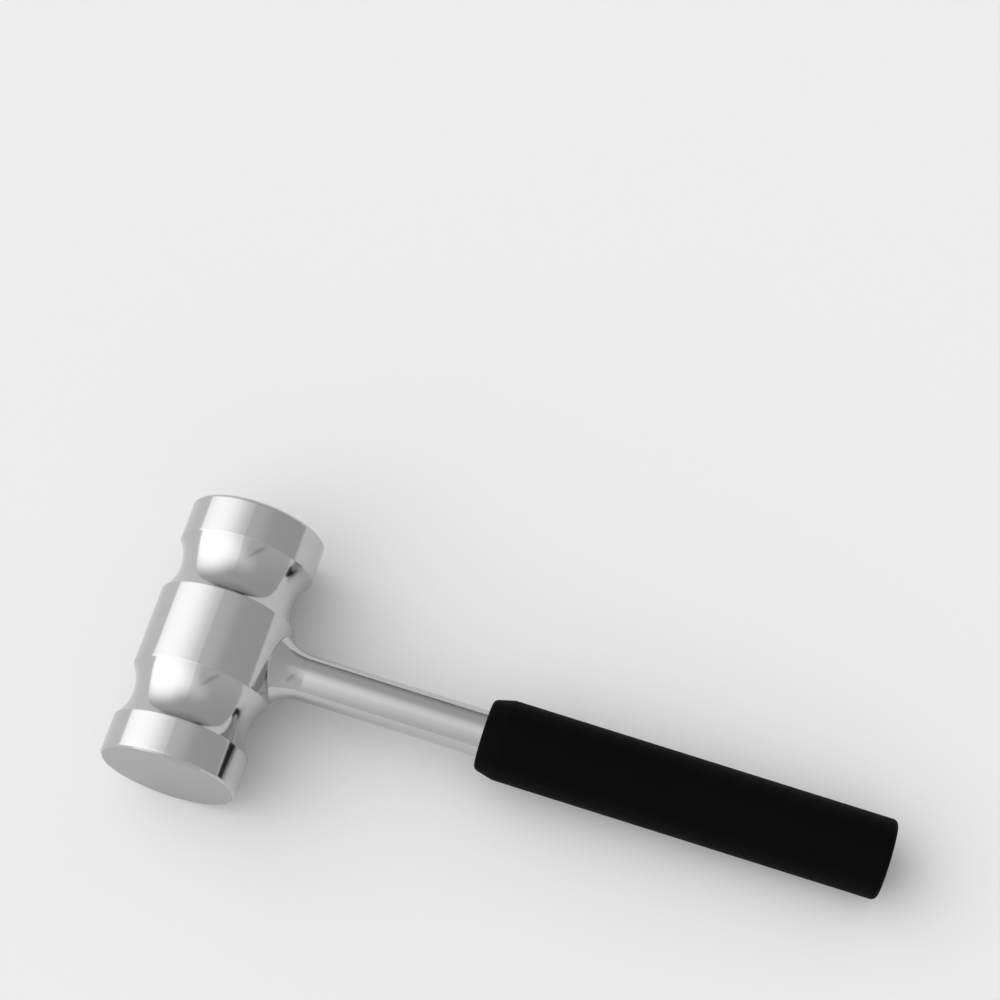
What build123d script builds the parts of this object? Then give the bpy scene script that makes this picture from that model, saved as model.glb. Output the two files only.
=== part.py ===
from build123d import *
import os
from math import asin, atan2, cos, degrees, hypot, sin, sqrt

# Surgical mallet, lying on its side. All sizes are in millimetres.
# The head is one turned steel bar with two scooped waists. A steel shank with a
# flared foot stands on its middle band, and a black moulded grip covers the shank's
# tang. The head's axis runs along Y and the handle runs towards +X. The mallet rests
# on its three bands and on the end of the grip, so the handle slopes down a little.
# The origin is on the table, under the middle of the mallet.

# Head: diameter of its three bands, and the widths along its axis
head_d = 40.0
end_band_w = 11.6
scoop_w = 16.6
scoop_depth = 2.8
face_chamfer = 0.8

# Shank: the bare length runs from the middle band to the grip
shank_d = 13.5
shank_bare = 60.8

# Flared foot: its diameter on the middle band, the length of its flare and the flat
# that is left on the band at each side
foot_d = 20.0
flare_len = 7.8
foot_margin = 1.6
flare_steps = 6
flare_overrun = 0.5

# Spigot of the shank, brazed into a drilled socket in the head
spigot_d = 10.0
spigot_depth = 15.0
spigot_chamfer = 0.6
braze_gap = 0.05
socket_spare = 1.0
drill_cone = 0.3

# Grip: moulded round the tang, with a tapered shoulder in front and a solid end
grip_d = 23.5
grip_len = 119.0
shoulder_d = 20.4
shoulder_len = 6.0
shoulder_round = 1.7
grip_end_round = 1.8
grip_end_wall = 9.0

# Tang: as thick as the shank, with two milled flats that key the grip
key_flat_len = 60.0
key_flat_depth = 1.2
tang_chamfer = 1.0

# Sizes that follow from the driving dimensions
head_r = head_d / 2
shank_r = shank_d / 2
foot_r = foot_d / 2
grip_r = grip_d / 2
spigot_r = spigot_d / 2
middle_band_w = foot_d + 2 * foot_margin
head_half = middle_band_w / 2 + scoop_w + end_band_w
scoop_inner = middle_band_w / 2
scoop_outer = scoop_inner + scoop_w
flare_start = head_r + flare_len
grip_front = head_r + shank_bare
grip_end = grip_front + grip_len
tang_end = grip_end - grip_end_wall

# Resting slope: the rounded end of the grip comes down to the height of the bands
slope = asin(
    (head_r - grip_end_round) / hypot(grip_end - grip_end_round, grip_r - grip_end_round)
) - atan2(grip_r - grip_end_round, grip_end - grip_end_round)
reach = (
    (grip_end - grip_end_round) * cos(slope)
    + (grip_r - grip_end_round) * sin(slope)
    + grip_end_round
)

# The mallet's own axes as it lies, from the middle of the head
lying = Location(((head_r - reach) / 2, 0, head_r), (0, degrees(slope), 0))
handle_section = Plane(lying * Plane.XZ.location)
head_section = Plane(lying * Plane.YZ.location)
handle_axis = Axis(lying.position, handle_section.x_dir)
head_axis = Axis(lying.position, head_section.x_dir)


def across_handle(distance):
    """Plane across the handle, at a distance from the head's axis."""
    return head_section.offset(distance)


def corner_at(x, y):
    """Corner of the profile that is being drawn, at this place."""
    return vertices().sort_by_distance((x, y))[0]


def flare_radius(run, length):
    """Radius of the foot at a run from the flare's start, in a direction where it is so long.

    The flare is an arc that starts along the shank and reaches the foot's radius on the
    band, and it goes on straight inside the head, where the cope removes it.
    """
    growth = foot_r - shank_r
    arc = (length**2 + growth**2) / (2 * growth)
    if run <= length:
        return shank_r + arc - sqrt(arc**2 - run**2)
    return foot_r + (run - length) * length / sqrt(arc**2 - length**2)


# Head
with BuildPart() as head:
    with BuildSketch(head_section):
        with BuildLine():
            face = Line((head_half, 0), (head_half, head_r))
            end_band = Line(face @ 1, (scoop_outer, head_r))
            scoop = ThreePointArc(
                end_band @ 1,
                (scoop_inner + scoop_w / 2, head_r - scoop_depth),
                (scoop_inner, head_r),
            )
            Line(scoop @ 1, (0, head_r))
            mirror(about=Plane.YZ)
            Line((-head_half, 0), (head_half, 0))
        make_face()
        for side in (-1, 1):
            chamfer(corner_at(side * head_half, head_r), face_chamfer)
    revolve(axis=head_axis)
    # Drilled socket for the shank's spigot
    with BuildSketch(handle_section):
        socket_r = spigot_r + braze_gap
        socket_floor = head_r - spigot_depth - socket_spare
        Polygon(
            (socket_floor - drill_cone * spigot_d, 0),
            (socket_floor, socket_r),
            (head_d, socket_r),
            (head_d, 0),
            align=None,
        )
    revolve(axis=handle_axis, mode=Mode.SUBTRACT)
head.part.label = "head"

# Shank
with BuildPart() as shank:
    # Flared foot: round at the shank and coped to the round of the head, so its flare is
    # longest towards the top and the bottom, where the band falls away
    crown_len = flare_start - sqrt(head_r**2 - foot_r**2)
    for step in range(flare_steps + 1):
        run = (crown_len + flare_overrun) * step / flare_steps
        with BuildSketch(across_handle(flare_start - run)):
            Ellipse(flare_radius(run, flare_len), flare_radius(run, crown_len))
    loft()
    with BuildSketch(handle_section):
        Circle(head_r)
    extrude(amount=foot_d, both=True, mode=Mode.SUBTRACT)
    # Spigot in the head
    with BuildSketch(across_handle(head_r - spigot_depth)):
        Circle(spigot_r)
    extrude(amount=spigot_depth + flare_len)
    chamfer(shank.edges().filter_by(GeomType.CIRCLE).sort_by(Axis.X)[0], spigot_chamfer)
    # Rod and tang
    with BuildSketch(across_handle(flare_start)):
        Circle(shank_r)
    extrude(amount=tang_end - flare_start)
    chamfer(shank.edges().filter_by(GeomType.CIRCLE).sort_by(Axis.X)[-1], tang_chamfer)
    # Milled flats
    with BuildSketch(handle_section):
        tang_middle = (grip_front + tang_end) / 2
        with Locations((tang_middle, shank_r), (tang_middle, -shank_r)):
            Rectangle(key_flat_len, 2 * key_flat_depth)
    extrude(amount=shank_r, both=True, mode=Mode.SUBTRACT)
shank.part.label = "shank"

# Grip
with BuildPart() as grip:
    with BuildSketch(handle_section):
        with BuildLine():
            Polyline(
                (grip_front, 0),
                (grip_front, shoulder_d / 2),
                (grip_front + shoulder_len, grip_r),
                (grip_end, grip_r),
                (grip_end, 0),
                close=True,
            )
        make_face()
        fillet(corner_at(grip_front, shoulder_d / 2), shoulder_round)
        fillet(corner_at(grip_end, grip_r), grip_end_round)
    revolve(axis=handle_axis)
    add(shank.part, mode=Mode.SUBTRACT)
grip.part.label = "grip"

os.makedirs("parts", exist_ok=True)
export_step(head.part, "parts/head.step")
export_step(shank.part, "parts/shank.step")
export_step(grip.part, "parts/grip.step")
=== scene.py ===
from math import cos, pi, radians, sin

import bpy
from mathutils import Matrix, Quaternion, Vector

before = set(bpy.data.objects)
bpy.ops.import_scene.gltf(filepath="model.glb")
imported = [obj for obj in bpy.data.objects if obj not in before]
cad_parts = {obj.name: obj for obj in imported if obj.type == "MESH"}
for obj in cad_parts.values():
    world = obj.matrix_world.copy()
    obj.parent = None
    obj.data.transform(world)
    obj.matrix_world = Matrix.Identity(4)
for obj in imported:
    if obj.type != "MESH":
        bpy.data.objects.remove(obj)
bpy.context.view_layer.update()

# Half the head's length, in metres, and the band at its ends where the steel turns to
# the striking face's finish and its painted shade
HEAD_HALF = max(vertex.co.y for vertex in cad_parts["head"].data.vertices)
FACE_FROM = HEAD_HALF - 0.0003
FACE_TO = HEAD_HALF - 0.00005

# Where a noise does most of its varying
NOISE_LOW = 0.3
NOISE_HIGH = 0.7


# Helpers for node trees
def new_material(name):
    """Material with an empty tree, and the tree."""
    material = bpy.data.materials.new(name)
    material.use_nodes = True
    material.node_tree.nodes.clear()
    return material, material.node_tree


def fill(tree, node, inputs):
    """Sets or links a node's inputs, by name or number."""
    for key, value in inputs.items():
        socket = node.inputs[key]
        if isinstance(value, bpy.types.NodeSocket):
            tree.links.new(value, socket)
        else:
            socket.default_value = value
    return node


def add(tree, kind, inputs=None, **settings):
    """New node of this kind, with its settings and inputs."""
    node = tree.nodes.new(kind)
    for name, value in settings.items():
        setattr(node, name, value)
    return fill(tree, node, inputs or {})


def maths(tree, operation, *values):
    """Result of a sum or product; the values are numbers or sockets."""
    node = add(tree, "ShaderNodeMath", dict(enumerate(values)), operation=operation)
    return node.outputs["Value"]


def span(tree, value, low, high, start, end):
    """Value that goes smoothly from start to end while another goes from low to high."""
    node = add(
        tree,
        "ShaderNodeMapRange",
        {"Value": value, "From Min": low, "From Max": high, "To Min": start, "To Max": end},
        interpolation_type="SMOOTHSTEP",
    )
    return node.outputs["Result"]


def mixed(tree, factor, first, second):
    """Colour that goes from the first to the second with a factor."""
    node = add(tree, "ShaderNodeMix", {0: factor, 6: first, 7: second}, data_type="RGBA")
    return node.outputs[2]


def noise(tree, vector, scale, detail=2.0, roughness=0.5):
    """Noise from 0 to 1, with a scale per metre."""
    node = add(
        tree,
        "ShaderNodeTexNoise",
        {"Vector": vector, "Scale": scale, "Detail": detail, "Roughness": roughness},
    )
    return node.outputs["Fac"]


def spread(tree, value, start, end):
    """Value from start to end that follows a noise."""
    return span(tree, value, NOISE_LOW, NOISE_HIGH, start, end)


def stretched(tree, vector, *scale):
    """Place scaled along x, y and z, for a grain with a direction."""
    return add(tree, "ShaderNodeMapping", {"Vector": vector, "Scale": scale}).outputs["Vector"]


# Steel of the head and the shank: colours, scales of its noises per metre, and roughness
STEEL = (0.53, 0.53, 0.528, 1.0)
# The striking faces' darker steel colour is painted shade, standing in for the shadowed floor that
# they reflect
SHADED_FACE_STEEL = (0.44, 0.44, 0.438, 1.0)
SATIN_SCALE = 900.0
CLOUD_SCALE = 45.0
LAPPED_SCALE = 2600.0
SATIN_ROUGH = (0.085, 0.13)
CLOUD_ROUGH = (0.0, 0.03)
LAPPED_ROUGH = 0.26
SATIN_HEIGHT = 0.12
LAPPED_HEIGHT = 0.9
STEEL_BUMP = 0.25
STEEL_BUMP_DEPTH = 0.00002
EDGE_SAMPLES = 6
HEAD_EDGE = 0.0007
SHANK_EDGE = 0.0002
HEAD_SATIN = (1.0, 6.0, 1.0)
SHANK_SATIN = (0.15, 1.0, 1.0)


def steel(name, edge, satin, facing=False):
    """Polished steel with fine satin lines and softly broken edges.

    satin is the grain's scale along x, y and z, and the lines run where it is smallest.
    facing adds the lapped, matt striking faces at both ends of the head; their darker colour is
    painted shade, standing in for the shadowed floor that they reflect.
    """
    material, tree = new_material(name)
    place = add(tree, "ShaderNodeTexCoord").outputs["Object"]
    grain = noise(tree, stretched(tree, place, *satin), SATIN_SCALE, detail=3.0)
    cloud = noise(tree, place, CLOUD_SCALE)
    rough = maths(tree, "ADD", spread(tree, grain, *SATIN_ROUGH), spread(tree, cloud, *CLOUD_ROUGH))
    height = maths(tree, "MULTIPLY", grain, SATIN_HEIGHT)
    colour = STEEL
    if facing:
        along = add(tree, "ShaderNodeSeparateXYZ", {"Vector": place}).outputs["Y"]
        face = span(tree, maths(tree, "ABSOLUTE", along), FACE_FROM, FACE_TO, 0.0, 1.0)
        rough = maths(tree, "ADD", rough, maths(tree, "MULTIPLY", face, LAPPED_ROUGH))
        # Painted shade: the striking faces take the darker steel colour
        colour = mixed(tree, face, STEEL, SHADED_FACE_STEEL)
        lapped = noise(tree, place, LAPPED_SCALE, roughness=0.6)
        lapped = maths(tree, "MULTIPLY", maths(tree, "MULTIPLY", face, lapped), LAPPED_HEIGHT)
        height = maths(tree, "ADD", height, lapped)
    soft = add(tree, "ShaderNodeBevel", {"Radius": edge}, samples=EDGE_SAMPLES).outputs["Normal"]
    bump = add(
        tree,
        "ShaderNodeBump",
        {"Strength": STEEL_BUMP, "Distance": STEEL_BUMP_DEPTH, "Height": height, "Normal": soft},
    ).outputs["Normal"]
    shader = add(
        tree,
        "ShaderNodeBsdfPrincipled",
        {"Base Color": colour, "Metallic": 1.0, "Roughness": rough, "Normal": bump},
    )
    add(tree, "ShaderNodeOutputMaterial", {"Surface": shader.outputs["BSDF"]})
    return material


# Rubber of the grip: colours, scales of its noises per metre, roughness and gloss
BLACK = (0.0008, 0.0008, 0.0008, 1.0)
WORN_BLACK = (0.002, 0.002, 0.002, 1.0)
GRAIN_SCALE = 1500.0
WEAR_SCALE = 60.0
RUBBER_ROUGH = (0.62, 0.78)
RUBBER_GLOSS = 0.05
RUBBER_BUMP = 0.5
RUBBER_BUMP_DEPTH = 0.00005


def rubber(name):
    """Black moulded grip: matt, with a fine moulded grain."""
    material, tree = new_material(name)
    place = add(tree, "ShaderNodeTexCoord").outputs["Object"]
    grain = noise(tree, place, GRAIN_SCALE, detail=3.0, roughness=0.6)
    bump = add(
        tree,
        "ShaderNodeBump",
        {"Strength": RUBBER_BUMP, "Distance": RUBBER_BUMP_DEPTH, "Height": grain},
    ).outputs["Normal"]
    shader = add(
        tree,
        "ShaderNodeBsdfPrincipled",
        {
            "Base Color": mixed(tree, noise(tree, place, WEAR_SCALE), BLACK, WORN_BLACK),
            "Roughness": spread(tree, grain, *RUBBER_ROUGH),
            "Specular IOR Level": RUBBER_GLOSS,
            "Normal": bump,
        },
    )
    add(tree, "ShaderNodeOutputMaterial", {"Surface": shader.outputs["BSDF"]})
    return material


finishes = {
    "head": steel("polished_steel_head", HEAD_EDGE, HEAD_SATIN, facing=True),
    "shank": steel("polished_steel_shank", SHANK_EDGE, SHANK_SATIN),
    "grip": rubber("black_rubber_grip"),
}
for node, material in finishes.items():
    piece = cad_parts[node]
    piece.data.materials.clear()
    piece.data.materials.append(material)

# Floor: matt white paper
FLOOR_RADIUS = 6.0
FLOOR_CORNERS = 96
PAPER = (0.87, 0.87, 0.87, 1.0)
PALE_PAPER = (0.89, 0.89, 0.89, 1.0)
FIBRE_SCALE = 900.0
PAPER_ROUGH = 0.9
PAPER_GLOSS = 0.1
bpy.ops.mesh.primitive_circle_add(vertices=FLOOR_CORNERS, radius=FLOOR_RADIUS, fill_type="NGON")
floor = bpy.context.object
floor.name = "floor"
paper, tree = new_material("white_paper")
fibre = noise(tree, add(tree, "ShaderNodeTexCoord").outputs["Object"], FIBRE_SCALE)
matt = add(
    tree,
    "ShaderNodeBsdfPrincipled",
    {
        "Base Color": mixed(tree, fibre, PAPER, PALE_PAPER),
        "Roughness": PAPER_ROUGH,
        "Specular IOR Level": PAPER_GLOSS,
    },
)
add(tree, "ShaderNodeOutputMaterial", {"Surface": matt.outputs["BSDF"]})
floor.data.materials.append(paper)

# World: a plain room that fades a little towards the right and the back
ROOM_LEVEL = 0.60
ROOM_ALONG = (-0.074, -0.093, 0.0)
# Wide bright window to the left
WINDOW_LEVEL = 1.307
WINDOW_EDGE = 0.356
WINDOW_AZIMUTH = radians(193.5)
WINDOW_ELEVATION = radians(27.7)
# Dusk behind the mallet, deeper along the horizon
DUSK_LEVEL = -0.16
DUSK_EDGE = 0.85
DUSK_TOWARDS = (0.0, 1.0, 0.0)
HORIZON_LEVEL = -0.32
HORIZON_EDGE = 0.90
HORIZON_WIDTH = 0.17
HORIZON_ACROSS = (0.0, 0.0, 1.0)
# Camera stand overhead, a faint narrow shade
STAND_LEVEL = -0.24
STAND_EDGE = 0.88
STAND_WIDTH = 0.10
STAND_TOWARDS = (0.339, -0.502, 0.795)
STAND_ACROSS = (0.889, 0.447, -0.097)
room = bpy.data.worlds.new("studio_room")
bpy.context.scene.world = room
room.use_nodes = True
tree = room.node_tree
tree.nodes.clear()
ray = add(tree, "ShaderNodeTexCoord").outputs["Generated"]


def cosine_to(middle):
    """Cosine between a direction and the way that is looked, times the direction's length."""
    node = add(tree, "ShaderNodeVectorMath", {0: ray, 1: middle}, operation="DOT_PRODUCT")
    return node.outputs["Value"]


def patch(middle, edge, level):
    """Light that rises smoothly from a patch's edge to its middle; edge is a cosine."""
    return span(tree, cosine_to(middle), edge, 1.0, 0.0, level)


def streak(middle, edge, across, width, level):
    """Patch that is narrow across one direction; width is a cosine too."""
    narrow = span(tree, maths(tree, "ABSOLUTE", cosine_to(across)), 0.0, width, 1.0, 0.0)
    return maths(tree, "MULTIPLY", narrow, patch(middle, edge, level))


def direction(azimuth, elevation):
    """Unit vector at this azimuth from +X and this elevation."""
    return (
        cos(elevation) * cos(azimuth),
        cos(elevation) * sin(azimuth),
        sin(elevation),
    )


light = maths(tree, "ADD", cosine_to(ROOM_ALONG), ROOM_LEVEL)
for change in (
    patch(direction(WINDOW_AZIMUTH, WINDOW_ELEVATION), WINDOW_EDGE, WINDOW_LEVEL),
    patch(DUSK_TOWARDS, DUSK_EDGE, DUSK_LEVEL),
    streak(DUSK_TOWARDS, HORIZON_EDGE, HORIZON_ACROSS, HORIZON_WIDTH, HORIZON_LEVEL),
    streak(STAND_TOWARDS, STAND_EDGE, STAND_ACROSS, STAND_WIDTH, STAND_LEVEL),
):
    light = maths(tree, "ADD", light, change)
sky = add(tree, "ShaderNodeBackground", {"Color": (1.0, 1.0, 1.0, 1.0), "Strength": light})
add(tree, "ShaderNodeOutputWorld", {"Surface": sky.outputs["Background"]})

# Overhead softbox that fades towards its rim
SOFTBOX_HEIGHT = 1.5
SOFTBOX_SIZE = 2.2
SOFTBOX_LEVEL = 0.25
lamp = bpy.data.lights.new("softbox", "AREA")
lamp.shape = "SQUARE"
lamp.size = SOFTBOX_SIZE
lamp.energy = SOFTBOX_LEVEL * pi * SOFTBOX_SIZE**2
lamp.use_nodes = True
tree = lamp.node_tree
tree.nodes.clear()
across = add(tree, "ShaderNodeNewGeometry").outputs["Parametric"]
out = add(
    tree, "ShaderNodeVectorMath", {0: across, 1: (0.5, 0.5, 0.0)}, operation="DISTANCE"
).outputs["Value"]
beam = add(tree, "ShaderNodeEmission", {"Strength": span(tree, out, 0.0, 0.5, 1.0, 0.0)})
add(tree, "ShaderNodeOutputLight", {"Surface": beam.outputs["Emission"]})
softbox = bpy.data.objects.new("softbox", lamp)
softbox.location = (0.0, 0.0, SOFTBOX_HEIGHT)
bpy.context.scene.collection.objects.link(softbox)

# Camera at the photograph's viewing angle
CAMERA_AIM = Vector((-0.0259, 0.0686, 0.020))
CAMERA_DISTANCE = 0.8925
CAMERA_AZIMUTH = radians(-73.73)
CAMERA_ELEVATION = radians(67.49)
CAMERA_ROLL = radians(1.16)
CAMERA_LENS = 110.28
CAMERA_CLIP = 0.01
lens = bpy.data.cameras.new("camera")
lens.lens = CAMERA_LENS
lens.clip_start = CAMERA_CLIP
camera = bpy.data.objects.new("camera", lens)
bpy.context.scene.collection.objects.link(camera)
back = Vector(direction(CAMERA_AZIMUTH, CAMERA_ELEVATION))
camera.location = CAMERA_AIM + CAMERA_DISTANCE * back
camera.rotation_mode = "QUATERNION"
roll = Quaternion((0.0, 0.0, 1.0), CAMERA_ROLL)
camera.rotation_quaternion = back.to_track_quat("Z", "Y") @ roll
bpy.context.scene.camera = camera

bpy.context.scene.view_settings.view_transform = "Standard"
